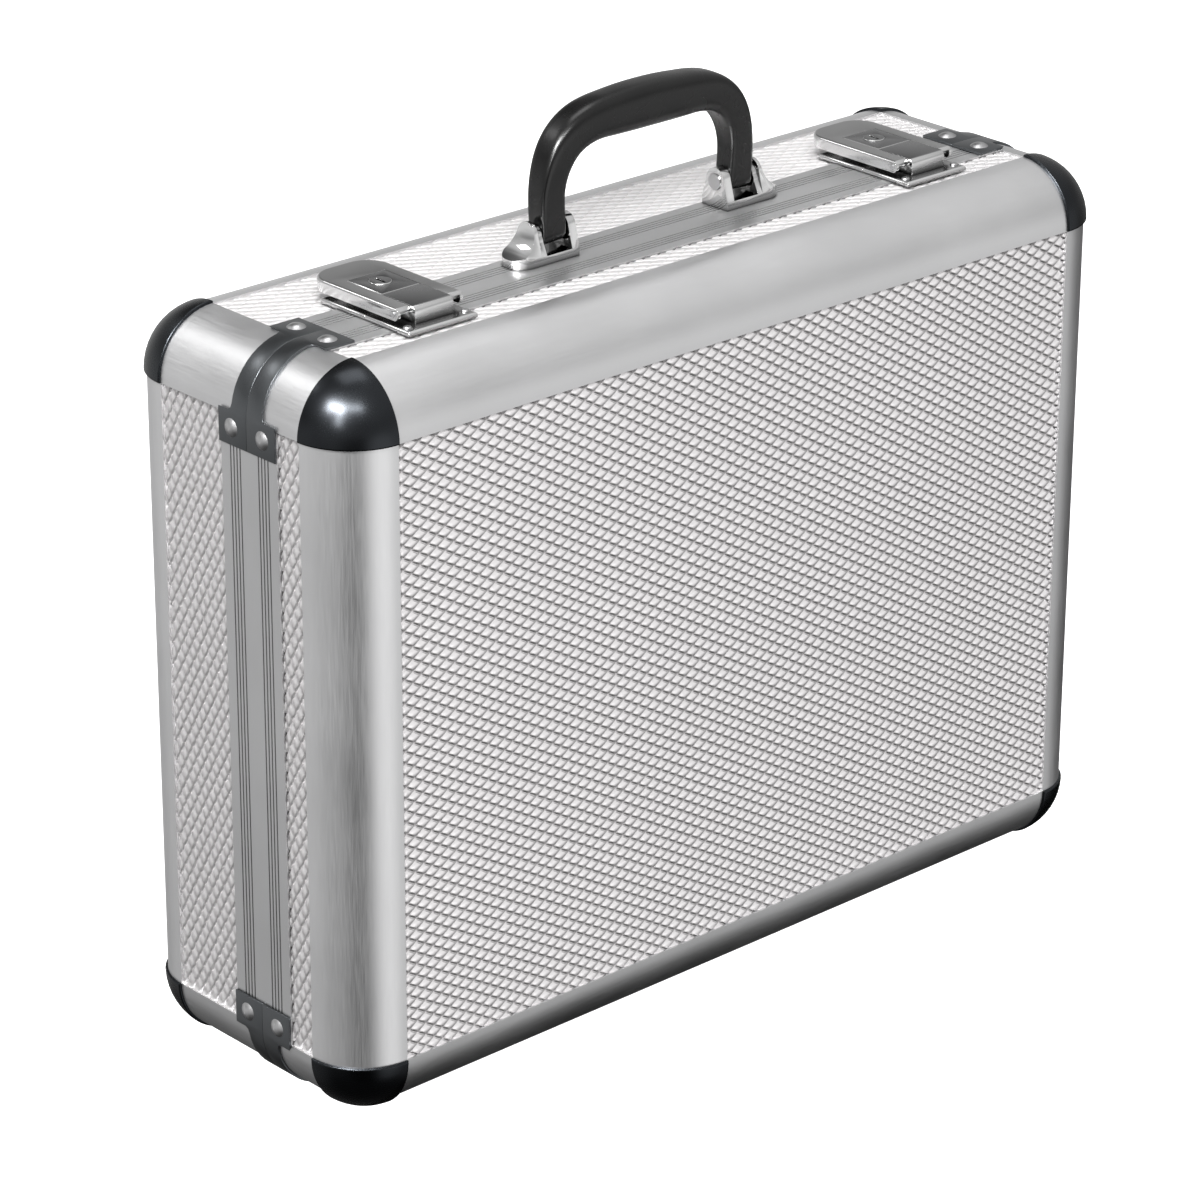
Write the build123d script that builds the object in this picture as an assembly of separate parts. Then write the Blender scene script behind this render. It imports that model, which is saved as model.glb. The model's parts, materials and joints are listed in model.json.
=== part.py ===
from build123d import *
from math import sqrt
import os

# Hard-shell carry case with an aluminium frame, in millimetres.
#
# The case stands upright on four small feet. X runs along its width, Y from the lid (negative)
# to the base (positive) and Z up. The origin is the middle of the footprint, at the feet's soles.
# The base is the back half and carries the handle; the lid is the front half, hinged at the
# bottom of the seam, and carries both latches.

os.makedirs("parts", exist_ok=True)

# Shell: overall outside size of the closed body, without corners, feet and handle
CASE_W = 460.0
CASE_D = 150.0
CASE_H = 343.0
LID_D = 62.0
EDGE_R = 29.0
FOOT_H = 5.0

# Sheet and profile thicknesses
PROFILE_T = 2.8
PANEL_T = 4.0
PANEL_DROP = 0.8
LIP_T = 1.4
LIP_L = 6.5
LIP_END = 8.0

# Ribbed rims at the seam
RIM_W = 18.5
RIM_T = 3.0
GROOVE_COUNT = 4
GROOVE_PITCH = 2.1
GROOVE_W = 0.9
GROOVE_D = 0.5
TONGUE_L = 4.0
TONGUE_GAP = 0.3
TONGUE_T = 1.7

# Corner hardware
BALL_PROUD = 1.3
BALL_T = 3.8
BALL_EDGE_R = 0.8
STRAP_W = 10.0
STRAP_T = 1.2
TAB_L = 13.5
RIVET_ALONG_TAB = 5.7
RIVET_FROM_SEAM = 10.2
RIVET_R = 4.2
RIVET_H = 1.6
SHOULDER_INSET = 0.8
SHOULDER_R = 2.2

# Handle and its mounts
GRIP_OUT_X = 63.0
GRIP_IN_X = 49.0
GRIP_TOP = 69.0
GRIP_D = 19.0
LEG_D = 11.0
LEG_SWELL_FROM = 14.0
LEG_SWELL_TO = 30.0
GRIP_ROUND = 7.0
GRIP_T = 21.0
HANDLE_Y = -3.75
HANDLE_Z = 12.0
MOUNT_IN_X = 44.5
MOUNT_OUT_X = 79.5
MOUNT_D = 16.5
MOUNT_BASE_T = 4.0
CHEEK_TOP = 18.5
CHEEK_HALF_W = 5.6
CHEEK_ARCH_H = 5.0
BOSS_R = 4.6
BOSS_L = 3.0
BOSS_CHEEK_TOP = 14.6
PEAK_T = 1.8
SCOOP_X = 71.0
SCOOP_Z = 8.5
SIDE_PLAY = 0.3
HANDLE_PIN_R = 2.2
PIN_HEAD_R = 3.6
PIN_HEAD_T = 0.7
RUN_PLAY = 0.05

# Latches
LATCH_X = 148.0
PLATE_W = 38.0
PLATE_L = 29.0
PLATE_T = 2.2
PLATE_EDGE_R = 1.4
HOUSING_W = 21.0
HOUSING_FRONT = -36.0
LATCH_TOP = 9.8
LATCH_PIVOT_Y = -30.5
LATCH_PIVOT_Z = 6.9
HOUSING_ARC_R = 16.0
ARC_GAP = 0.3
LEVER_W = 36.0
LEVER_BACK = 27.0
LEVER_FRONT = -33.5
LEVER_UNDER = 4.2
LEVER_T = 1.6
LEVER_NOSE_R = 12.0
LEVER_TIP_R = 3.0
WINDOW_BACK = 8.7
WINDOW_PLAY = 0.2
LATCH_PIN_R = 1.2
PLATE_RIVET_X = 15.8
PLATE_RIVET_Y = -37.2
PLATE_RIVET_R = 1.9
PLATE_RIVET_H = 0.9
LATCH_ROUND = 1.2
HOUSING_ROUND = 2.6
LOCK_Y = -1.0
LOCK_PLUG_R = 5.2
LOCK_PLUG_UNDER = 5.6
LOCK_PLUG_PROUD = 0.3
LOCK_CHAMFER = 0.4
FINGER_ROOM = 6.2
KEYHOLE_W = 1.3
KEYHOLE_L = 6.4
KEYHOLE_D = 1.6
FINGER_R = 1.0
FINGER_AT = 4.1
FINGER_UNDER = 3.0
KEEPER_HALF_W = 2.4
KEEPER_TOP = 5.0
KEEPER_T = 1.1
KEEPER_FRONT = -5.0
KEEPER_BACK = 0.4
POST_T = 1.6

# Hinges under the seam
HINGE_X = 140.0
HINGE_L = 60.0
HINGE_AXIS_DROP = 2.2
KNUCKLE_R = 2.0
HINGE_PIN_R = 1.0
LEAF_T = 1.0
LEAF_W = 15.0
KNUCKLE_GAP = 0.3
KNUCKLE_COUNT = 5
KNUCKLE_ROOM = 0.4

# Feet
FOOT_R = 6.0
FOOT_X = 165.0
FOOT_ROUND = 1.0
LID_FOOT_Y = -39.0
BASE_FOOT_Y = 38.0

# Foam inside
FOAM_HALF_W = 215.0
FOAM_END_GAP = 15.0
FOAM_BACK = 60.0
FOAM_PAD_T = 6.0
FOAM_FRONT = -6.0
POCKET_COLUMNS = 6
POCKET_ROWS = 4
FOAM_WALL_T = 8.0
LID_FOAM_FRONT = -60.0
LID_FOAM_T = 28.0

# Places worked out from the above
BOTTOM = FOOT_H
TOP = FOOT_H + CASE_H
MIDDLE = (BOTTOM + TOP) / 2
FRONT = -CASE_D / 2
BACK = CASE_D / 2
SIDE = CASE_W / 2
SEAM = FRONT + LID_D
CORNER_X = SIDE - EDGE_R
CORNER_Y = BACK - EDGE_R
CORNER_TOP = TOP - EDGE_R
CORNER_BOTTOM = BOTTOM + EDGE_R
BASE_RIM = SEAM + RIM_W
LID_RIM = SEAM - RIM_W
HINGE_Z = BOTTOM - HINGE_AXIS_DROP
HANDLE_AXIS_Z = TOP + HANDLE_Z
LATCH_AXIS_Z = TOP + LATCH_PIVOT_Z

CORNERED = (Align.MIN, Align.MIN)
UPWARD = (Align.CENTER, Align.CENTER, Align.MIN)
DIAGONAL = Plane((0, 0, 0), z_dir=(1, -1, 0))


def save(name, *solids):
    """Write one node's STEP file: one solid, or a group of separate identical ones."""
    shape = solids[0] if len(solids) == 1 else Compound(children=list(solids))
    export_step(shape, f"parts/{name}.step")


def block(x, y, z):
    """A box between two limits on each axis."""
    size = (x[1] - x[0], y[1] - y[0], z[1] - z[0])
    return Pos((x[0] + x[1]) / 2, (y[0] + y[1]) / 2, (z[0] + z[1]) / 2) * Box(*size)


def rectangle(x, y):
    """A flat rectangle between two limits on each axis."""
    return Pos(x[0], y[0]) * Rectangle(x[1] - x[0], y[1] - y[0], align=CORNERED)


def bar_x(section, x0, x1):
    """Extrude a section drawn in (Y, Z) along X."""
    return extrude(Plane((x0, 0, 0), x_dir=(0, 1, 0), z_dir=(1, 0, 0)) * section, amount=x1 - x0)


def bar_y(section, y0, y1):
    """Extrude a section drawn in (X, Z) along Y."""
    return extrude(Plane((0, y1, 0), x_dir=(1, 0, 0), z_dir=(0, -1, 0)) * section, amount=y1 - y0)


def bar_z(section, z0, z1):
    """Extrude a section drawn in (X, Y) along Z."""
    return extrude(Plane((0, 0, z0)) * section, amount=z1 - z0)


def cylinder_x(radius, x0, x1, y, z):
    """A cylinder whose axis runs along X."""
    return bar_x(Pos(y, z) * Circle(radius), x0, x1)


def to_left(shape):
    """Mirror a piece from the right side to the left."""
    return mirror(shape, about=Plane.YZ)


def to_bottom(shape):
    """Mirror a piece of the shell from its top to its bottom."""
    return mirror(shape, about=Plane.XY.offset(MIDDLE))


def to_lid(shape):
    """Mirror a piece from the back half's edge to the front half's edge."""
    return mirror(shape, about=Plane.XZ)


def over_seam(shape):
    """Mirror a piece at the seam from the base to the lid."""
    return mirror(shape, about=Plane.XZ.offset(-SEAM))


def four_corners(shape):
    """A top right piece and its mirror images at the other three corners."""
    return [shape, to_left(shape), to_bottom(shape), to_bottom(to_left(shape))]


# ---------------------------------------------------------------- shell profiles and panels

quadrant = Rectangle(2 * EDGE_R, 2 * EDGE_R, align=CORNERED)
quarter_ring = (Circle(EDGE_R) - Circle(EDGE_R - PROFILE_T)) & quadrant
lip_floor = EDGE_R - PANEL_DROP - PANEL_T - LIP_T
lip_flange = rectangle((-LIP_L, LIP_T), (lip_floor, lip_floor + LIP_T))
lip_web = rectangle((0, LIP_T), (lip_floor, EDGE_R - PANEL_DROP))
lip = lip_flange + lip_web
lips = lip + mirror(lip, about=DIAGONAL)


def edge_profile(bar, centre, start, end, lip_inset):
    """A quarter-round edge profile, with lips that carry the two panels it joins."""
    ring = bar(Pos(*centre) * quarter_ring, start, end)
    return ring + bar(Pos(*centre) * lips, start + lip_inset, end - lip_inset)


def rim_outline():
    """The ribbed rim's flat face, from the seam at u = 0 to its panel, outwards being v."""
    first = RIM_W / 2 - GROOVE_PITCH * (GROOVE_COUNT - 1) / 2
    points = [(0, -RIM_T), (0, 0)]
    for i in range(GROOVE_COUNT):
        middle = first + i * GROOVE_PITCH
        points += [(middle - GROOVE_W / 2, 0), (middle - GROOVE_W / 4, -GROOVE_D)]
        points += [(middle + GROOVE_W / 4, -GROOVE_D), (middle + GROOVE_W / 2, 0)]
    points += [(RIM_W, 0), (RIM_W, -RIM_T)]
    return make_face(Polyline(*points, close=True))


def rim_support():
    """The rim's web and the flange under its panel."""
    floor = -PANEL_DROP - PANEL_T - LIP_T
    flange = rectangle((RIM_W - LIP_T, RIM_W + LIP_L), (floor, floor + LIP_T))
    return flange + rectangle((RIM_W - LIP_T, RIM_W), (floor, -RIM_T + GROOVE_D))


def rim_tongue():
    """The tongue that enters the other half, behind its rim."""
    floor = -RIM_T - TONGUE_GAP - TONGUE_T
    blade = rectangle((-TONGUE_L, TONGUE_L), (floor, floor + TONGUE_T))
    return blade + rectangle((0, TONGUE_L), (floor, -RIM_T + GROOVE_D))


def rim_bar(side, tongue):
    """One rim of the base: its outline on the top or the right side of the shell."""
    reach = CORNER_X if side == "top" else CORNER_TOP - MIDDLE

    def place(section, inset):
        if side == "top":
            return bar_x(Pos(SEAM, TOP) * section, -reach + inset, reach - inset)
        turned = mirror(section, about=DIAGONAL)
        return bar_z(Pos(SIDE, SEAM) * turned, MIDDLE - reach + inset, MIDDLE + reach - inset)

    rim = place(rim_outline(), 0) + place(rim_support(), LIP_END)
    return rim + place(rim_tongue(), LIP_END) if tongue else rim


top_edge = edge_profile(bar_x, (CORNER_Y, CORNER_TOP), -CORNER_X, CORNER_X, LIP_END)
right_edge = edge_profile(bar_z, (CORNER_X, CORNER_Y), CORNER_BOTTOM, CORNER_TOP, LIP_END)
save("base_edge_top", top_edge)
save("base_edge_bottom", to_bottom(top_edge))
save("base_edge_right", right_edge)
save("base_edge_left", to_left(right_edge))
save("lid_edge_top", to_lid(top_edge))
save("lid_edge_bottom", to_lid(to_bottom(top_edge)))
save("lid_edge_right", to_lid(right_edge))
save("lid_edge_left", to_lid(to_left(right_edge)))

base_corner = edge_profile(bar_y, (CORNER_X, CORNER_TOP), SEAM, CORNER_Y, 0)
lid_corner = edge_profile(bar_y, (CORNER_X, CORNER_TOP), -CORNER_Y, SEAM, 0)
save("base_corner_profiles", *four_corners(base_corner))
save("lid_corner_profiles", *four_corners(lid_corner))

save("base_rim_top", rim_bar("top", True))
save("base_rim_bottom", to_bottom(rim_bar("top", False)))
save("base_rim_right", rim_bar("right", True))
save("base_rim_left", to_left(rim_bar("right", True)))
save("lid_rim_top", over_seam(rim_bar("top", False)))
save("lid_rim_bottom", over_seam(to_bottom(rim_bar("top", False))))
save("lid_rim_right", over_seam(rim_bar("right", False)))
save("lid_rim_left", over_seam(to_left(rim_bar("right", False))))

panel_out = (-PANEL_DROP - PANEL_T, -PANEL_DROP)
across = (-CORNER_X, CORNER_X)
upright = (CORNER_BOTTOM, CORNER_TOP)
top_depth = (TOP + panel_out[0], TOP + panel_out[1])
side_depth = (SIDE + panel_out[0], SIDE + panel_out[1])
back_depth = (BACK + panel_out[0], BACK + panel_out[1])
for half, strip in (("base", (BASE_RIM, CORNER_Y)), ("lid", (-CORNER_Y, LID_RIM))):
    top_panel = block(across, strip, top_depth)
    right_panel = block(side_depth, strip, upright)
    save(f"{half}_top_panel", top_panel)
    save(f"{half}_bottom_panel", to_bottom(top_panel))
    save(f"{half}_right_panel", right_panel)
    save(f"{half}_left_panel", to_left(right_panel))
back_panel = block(across, back_depth, upright)
save("base_back_panel", back_panel)
save("lid_front_panel", to_lid(back_panel))

# ---------------------------------------------------------------- corner hardware


def ball_corner():
    """One eighth of a hollow ball that caps the corner where three edge profiles end."""
    outer = EDGE_R + BALL_PROUD
    octant = Box(2 * EDGE_R, 2 * EDGE_R, 2 * EDGE_R, align=(Align.MIN, Align.MIN, Align.MIN))
    shell = (Sphere(outer) - Sphere(outer - BALL_T)) & octant
    rim_arcs = shell.edges().filter_by(GeomType.CIRCLE).sort_by(SortBy.LENGTH)[-3:]
    return Pos(CORNER_X, CORNER_Y, CORNER_TOP) * fillet(rim_arcs, BALL_EDGE_R)


def seam_bracket():
    """A strap round the corner beside the seam, ending in two wider riveted tabs."""
    ring = (Circle(EDGE_R + STRAP_T) - Circle(EDGE_R)) & quadrant
    strap = bar_y(Pos(CORNER_X, CORNER_TOP) * ring, SEAM, BASE_RIM)
    top_tab = block((CORNER_X - TAB_L, CORNER_X), (SEAM, BASE_RIM), (TOP, TOP + STRAP_T))
    side_tab = block((SIDE, SIDE + STRAP_T), (SEAM, BASE_RIM), (CORNER_TOP - TAB_L, CORNER_TOP))
    waist = SEAM + STRAP_W
    half_chord = EDGE_R / sqrt(2)
    shoulder = -half_chord + SHOULDER_INSET
    side = [(shoulder, BASE_RIM + 1), (shoulder, waist + SHOULDER_R)]
    side += [(shoulder + 0.3 * SHOULDER_R, waist + 0.3 * SHOULDER_R), (shoulder + SHOULDER_R, waist)]
    outline = make_face(Polyline(*side, *[(-s, y) for s, y in reversed(side)], close=True))
    diagonal = Plane((CORNER_X, 0, CORNER_TOP), x_dir=(1, 0, -1), z_dir=(1, 0, 1))
    opening = extrude(diagonal * outline, amount=2 * EDGE_R)
    return (strap - opening) + top_tab + side_tab


def rivet(place, direction):
    """A domed rivet head standing on a surface."""
    ball_r = (RIVET_R**2 + RIVET_H**2) / (2 * RIVET_H)
    cap = Pos(0, 0, RIVET_H - ball_r) * Sphere(ball_r)
    cap = cap & Cylinder(ball_r, ball_r, align=UPWARD)
    return Plane(place, z_dir=direction) * cap


def bracket_rivets(y):
    """The two rivets of one bracket, on its top tab and its side tab."""
    on_top = rivet((CORNER_X - RIVET_ALONG_TAB, y, TOP + STRAP_T), (0, 0, 1))
    on_side = rivet((SIDE + STRAP_T, y, CORNER_TOP - RIVET_ALONG_TAB), (1, 0, 0))
    return [on_top, on_side]


def each_corner(pieces):
    """Every piece at all four corners, in one flat list."""
    return [copy for piece in pieces for copy in four_corners(piece)]


ball = ball_corner()
bracket = seam_bracket()
save("base_ball_corners", *four_corners(ball))
save("lid_ball_corners", *four_corners(to_lid(ball)))
save("base_seam_brackets", *four_corners(bracket))
save("lid_seam_brackets", *four_corners(over_seam(bracket)))
save("base_rivets", *each_corner(bracket_rivets(SEAM + RIVET_FROM_SEAM)))

# ---------------------------------------------------------------- handle


def handle():
    """A bow handle: two legs, a thick rounded grip and a pivot hole in each leg."""
    foot = HANDLE_Z - LEG_D / 2
    with BuildLine() as right_half:
        outside = Polyline((GRIP_OUT_X - 0.6, foot), (GRIP_OUT_X, 28))
        shoulder = ThreePointArc(outside @ 1, (GRIP_OUT_X - 8.5, 54.5), (GRIP_OUT_X - 28, 67.5))
        crown = Line(shoulder @ 1, (0, GRIP_TOP))
        centre = Line(crown @ 1, (0, GRIP_TOP - GRIP_T))
        belly = Line(centre @ 1, (30, GRIP_TOP - GRIP_T + 1.5))
        bend = ThreePointArc(belly @ 1, (45.5, 47), (GRIP_IN_X + 1.5, 34))
        inside = Polyline(bend @ 1, (GRIP_IN_X, foot), (GRIP_OUT_X - 0.6, foot))
    half = make_face(right_half.line)
    face = Pos(0, TOP) * (half + mirror(half, about=Plane.YZ))
    bow = bar_y(face, HANDLE_Y - GRIP_D / 2, HANDLE_Y + GRIP_D / 2)
    crown_z = GRIP_TOP - HANDLE_Z
    swell = [(-LEG_D / 2, 0), (-LEG_D / 2, LEG_SWELL_FROM)]
    swell += [(-GRIP_D / 2, LEG_SWELL_TO), (-GRIP_D / 2, crown_z)]
    side_view = make_face(Polyline(*swell, *[(-y, z) for y, z in reversed(swell)], close=True))
    side_view = fillet(side_view.vertices().sort_by(Axis.Y)[-2:], GRIP_ROUND)
    side_view = side_view + Circle(LEG_D / 2)
    bow = bow & bar_x(Pos(HANDLE_Y, HANDLE_AXIS_Z) * side_view, -GRIP_OUT_X, GRIP_OUT_X)
    bore = cylinder_x(HANDLE_PIN_R + RUN_PLAY, -SIDE, SIDE, HANDLE_Y, HANDLE_AXIS_Z)
    return bow - bore


def bell(top):
    """A cheek's outline across the case: wide at its base, narrowing to a rounded top."""
    half = MOUNT_D / 2
    shoulder_z = top - CHEEK_ARCH_H
    with BuildLine() as outline:
        foot = Polyline((CHEEK_HALF_W, shoulder_z), (half, MOUNT_BASE_T), (half, 0), (-half, 0))
        rise = Polyline(foot @ 1, (-half, MOUNT_BASE_T), (-CHEEK_HALF_W, shoulder_z))
        ThreePointArc(rise @ 1, (0, top), foot @ 0)
    return Pos(HANDLE_Y, TOP) * make_face(outline.line)


def handle_mount():
    """The right mount: a base plate, a thin inner cheek, a boss and a scooped outer cheek."""
    slot = (GRIP_IN_X - SIDE_PLAY, GRIP_OUT_X + SIDE_PLAY)
    end_r = MOUNT_D / 2
    y = (HANDLE_Y - end_r, HANDLE_Y + end_r)
    plan = rectangle((MOUNT_IN_X, MOUNT_OUT_X - end_r), y)
    plan = plan + Pos(MOUNT_OUT_X - end_r, HANDLE_Y) * Circle(end_r)
    plate = bar_z(plan, TOP, TOP + MOUNT_BASE_T)
    boss_end = slot[1] + BOSS_L
    with BuildLine() as scoop_outline:
        base = Polyline((boss_end, 0), (MOUNT_OUT_X, 0), (MOUNT_OUT_X, MOUNT_BASE_T))
        scoop = ThreePointArc(base @ 1, (SCOOP_X, SCOOP_Z), (boss_end + PEAK_T, CHEEK_TOP))
        Polyline(scoop @ 1, (boss_end, CHEEK_TOP), (boss_end, 0))
    scoop_side = bar_y(Pos(0, TOP) * make_face(scoop_outline.line), *y)
    outer_cheek = bar_x(bell(CHEEK_TOP), boss_end, MOUNT_OUT_X) & scoop_side & bar_z(plan, TOP, 2 * TOP)
    boss_cheek = bar_x(bell(BOSS_CHEEK_TOP), slot[1], boss_end)
    boss = cylinder_x(BOSS_R, slot[1], boss_end, HANDLE_Y, HANDLE_AXIS_Z)
    inner_cheek = bar_x(bell(CHEEK_TOP), MOUNT_IN_X, slot[0])
    mount_body = plate + inner_cheek + boss_cheek + boss + outer_cheek
    return mount_body - cylinder_x(HANDLE_PIN_R, MOUNT_IN_X - 1, boss_end, HANDLE_Y, HANDLE_AXIS_Z)


def handle_pin():
    """The right pivot pin, with a low head on the inner cheek."""
    end = GRIP_OUT_X + SIDE_PLAY + BOSS_L
    shank = cylinder_x(HANDLE_PIN_R, MOUNT_IN_X, end, HANDLE_Y, HANDLE_AXIS_Z)
    head = cylinder_x(PIN_HEAD_R, MOUNT_IN_X - PIN_HEAD_T, MOUNT_IN_X, HANDLE_Y, HANDLE_AXIS_Z)
    return shank + head


mount = handle_mount()
pivot = handle_pin()
save("handle", handle())
save("handle_mount_right", mount)
save("handle_mount_left", to_left(mount))
save("handle_pins", pivot, to_left(pivot))

# ---------------------------------------------------------------- latches


def rolled_plate(y0, y1, outer_y):
    """A latch plate whose three outer edges roll down to the case."""
    plate = block((-PLATE_W / 2, PLATE_W / 2), (y0, y1), (TOP, TOP + PLATE_T))
    rolled = [e for e in plate.edges() if e.center().Z > TOP + PLATE_T - 0.1]
    rolled = [e for e in rolled if abs(e.center().X) > 1 or abs(e.center().Y - outer_y) < 0.1]
    return fillet(rolled, PLATE_EDGE_R)


def keeper_plate():
    """The base's plate, with the low hook that the lock's finger catches."""
    plate = rolled_plate(SEAM, SEAM + PLATE_L, SEAM + PLATE_L)
    x = (-KEEPER_HALF_W, KEEPER_HALF_W)
    post = block(x, (KEEPER_FRONT, KEEPER_FRONT + POST_T), (TOP + PLATE_T / 2, TOP + KEEPER_TOP))
    hook = block(x, (KEEPER_FRONT, KEEPER_BACK), (TOP + KEEPER_TOP - KEEPER_T, TOP + KEEPER_TOP))
    return plate + post + hook


def hinge_housing():
    """The block on the lid's plate that the lever turns on, hollowed clear of the lock block."""
    x = (-HOUSING_W / 2, HOUSING_W / 2)
    y = (HOUSING_FRONT, LATCH_PIVOT_Y + HOUSING_ARC_R)
    housing = block(x, y, (TOP + PLATE_T, TOP + LATCH_TOP))
    front = [e for e in housing.edges() if e.center().Y < HOUSING_FRONT + 0.1]
    front = [e for e in front if e.center().Z > TOP + LATCH_TOP - 0.1]
    housing = fillet(front, HOUSING_ROUND)
    sweep = cylinder_x(HOUSING_ARC_R, x[0], x[1], LATCH_PIVOT_Y, LATCH_AXIS_Z)
    housing = housing & (sweep + block(x, (HOUSING_FRONT, LATCH_PIVOT_Y), (TOP, TOP + 2 * LATCH_TOP)))
    return housing - cylinder_x(LATCH_PIN_R, x[0], x[1], LATCH_PIVOT_Y, LATCH_AXIS_Z)


def lever_plan(inset):
    """The lever's outline from above, a U whose closed end is the finger pull."""
    half = LEVER_W / 2 - inset
    front = LEVER_FRONT - inset
    body = rectangle((-half, half), (front, LEVER_BACK - inset))
    ends = body.vertices().sort_by(Axis.Y)[-2:]
    return fillet(ends, LEVER_NOSE_R - inset)


def latch_lever():
    """A pressed lever: a U-shaped top plate with a skirt round its outside."""
    outside = bar_z(lever_plan(0), TOP + LEVER_UNDER, TOP + LATCH_TOP - 0.1)
    top_edges = outside.faces().sort_by(Axis.Z)[-1].edges()
    rounded = [e for e in top_edges if e.center().Y > LEVER_FRONT + 0.1]
    outside = fillet(rounded, LATCH_ROUND)
    inside = bar_z(lever_plan(LEVER_T), TOP, TOP + LATCH_TOP - LEVER_T)
    lever = outside - inside
    half_window = HOUSING_W / 2 + WINDOW_PLAY
    lever = lever - block((-half_window, half_window), (2 * LEVER_FRONT, WINDOW_BACK), (TOP, 2 * TOP))
    tip = rectangle((-LEVER_W, 0), (-LEVER_W, LEVER_W)) - Circle(LEVER_TIP_R)
    lever = lever - bar_x(Pos(LATCH_PIVOT_Y, LATCH_AXIS_Z) * tip, -LEVER_W, LEVER_W)
    bore = cylinder_x(LATCH_PIN_R + RUN_PLAY, -LEVER_W, LEVER_W, LATCH_PIVOT_Y, LATCH_AXIS_Z)
    return lever - bore


def lock_block():
    """The block in the lever's window, bored for the key plug and channelled for the hook."""
    x = (-HOUSING_W / 2, HOUSING_W / 2)
    body = block(x, (-2 * HOUSING_ARC_R, WINDOW_BACK), (TOP + LEVER_UNDER + 0.3, TOP + LATCH_TOP))
    body = body & block(x, (LATCH_PIVOT_Y, WINDOW_BACK), (TOP, TOP + 2 * LATCH_TOP))
    body = body - cylinder_x(HOUSING_ARC_R + ARC_GAP, x[0], x[1], LATCH_PIVOT_Y, LATCH_AXIS_Z)
    rear = [e for e in body.edges() if e.center().Z > TOP + LATCH_TOP - 0.1]
    body = chamfer(rear, LOCK_CHAMFER)
    body = body - Pos(0, LOCK_Y, TOP) * Cylinder(LOCK_PLUG_R + RUN_PLAY, 2 * LATCH_TOP, align=UPWARD)
    room_y = (LOCK_Y - FINGER_ROOM - 0.3, WINDOW_BACK + 1)
    return body - block((-FINGER_ROOM, FINGER_ROOM), room_y, (TOP, TOP + LOCK_PLUG_UNDER))


def key_plug():
    """The cylinder that a key turns, with a slot above and a locking finger below."""
    top = LATCH_TOP + LOCK_PLUG_PROUD
    plug = Pos(0, 0, LOCK_PLUG_UNDER) * Cylinder(LOCK_PLUG_R, top - LOCK_PLUG_UNDER, align=UPWARD)
    plug = chamfer(plug.edges().sort_by(Axis.Z)[-1], LOCK_CHAMFER)
    slot = Pos(0, 0, top - KEYHOLE_D) * Box(KEYHOLE_W, KEYHOLE_L, 2 * KEYHOLE_D, align=UPWARD)
    finger = Cylinder(FINGER_R, LOCK_PLUG_UNDER - FINGER_UNDER, align=UPWARD)
    finger = Pos(FINGER_AT, 0, FINGER_UNDER) * finger
    return Pos(0, LOCK_Y, TOP) * (plug - slot + finger)


def plate_rivet(x):
    """A low flat rivet beside the housing."""
    head = Cylinder(PLATE_RIVET_R, PLATE_RIVET_H, align=UPWARD)
    head = fillet(head.edges().sort_by(Axis.Z)[-1], PLATE_RIVET_H - 0.1)
    return Pos(x, PLATE_RIVET_Y, TOP + PLATE_T) * head


latch_pieces = {
    "keeper_plate": keeper_plate(),
    "latch_plate": rolled_plate(SEAM - PLATE_L, SEAM, SEAM - PLATE_L),
    "latch_housing": hinge_housing(),
    "latch_lever": latch_lever(),
    "lock_block": lock_block(),
    "key_plug": key_plug(),
}
pin_x = LEVER_W / 2 + 0.3
latch_pins = []
plate_rivets = []
for name, x in (("left", -LATCH_X), ("right", LATCH_X)):
    for piece, solid in latch_pieces.items():
        save(f"{piece}_{name}", Pos(x, 0, 0) * solid)
    latch_pins.append(cylinder_x(LATCH_PIN_R, x - pin_x, x + pin_x, LATCH_PIVOT_Y, LATCH_AXIS_Z))
    plate_rivets += [plate_rivet(x - PLATE_RIVET_X), plate_rivet(x + PLATE_RIVET_X)]
save("latch_pins", *latch_pins)
save("lid_rivets", *each_corner(bracket_rivets(SEAM - RIVET_FROM_SEAM)), *plate_rivets)

# ---------------------------------------------------------------- hinges and feet


def knuckles(x0, x1, first):
    """Every second knuckle of one hinge, bored for its pin."""
    pitch = (x1 - x0) / KNUCKLE_COUNT
    barrels = []
    for i in range(first, KNUCKLE_COUNT, 2):
        start = x0 + i * pitch + KNUCKLE_GAP / 2
        barrels.append(cylinder_x(KNUCKLE_R, start, start + pitch - KNUCKLE_GAP, SEAM, HINGE_Z))
    return barrels


def hinge_leaf(x, direction, first):
    """A leaf under one half's rim, with its knuckles on the seam's axis."""
    x0, x1 = x - HINGE_L / 2, x + HINGE_L / 2
    y = sorted((SEAM + direction * KNUCKLE_ROOM, SEAM + direction * LEAF_W))
    leaf = block((x0, x1), y, (BOTTOM - LEAF_T, BOTTOM))
    reach = KNUCKLE_R + KNUCKLE_ROOM
    for barrel in knuckles(x0, x1, 1 - first):
        box = barrel.bounding_box()
        along = (box.min.X - KNUCKLE_GAP, box.max.X + KNUCKLE_GAP)
        leaf = leaf - block(along, (SEAM - reach, SEAM + reach), (0, BOTTOM))
    for barrel in knuckles(x0, x1, first):
        leaf = leaf + barrel
    bore_r = HINGE_PIN_R + RUN_PLAY if first else HINGE_PIN_R
    return leaf - cylinder_x(bore_r, x0, x1, SEAM, HINGE_Z)


def hinge_pin(x):
    """The pin through all five knuckles of one hinge."""
    return cylinder_x(HINGE_PIN_R, x - HINGE_L / 2, x + HINGE_L / 2, SEAM, HINGE_Z)


hinge_places = (-HINGE_X, HINGE_X)
save("hinge_base_leaves", *[hinge_leaf(x, 1, 0) for x in hinge_places])
save("hinge_lid_leaves", *[hinge_leaf(x, -1, 1) for x in hinge_places])
save("hinge_pins", *[hinge_pin(x) for x in hinge_places])


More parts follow.
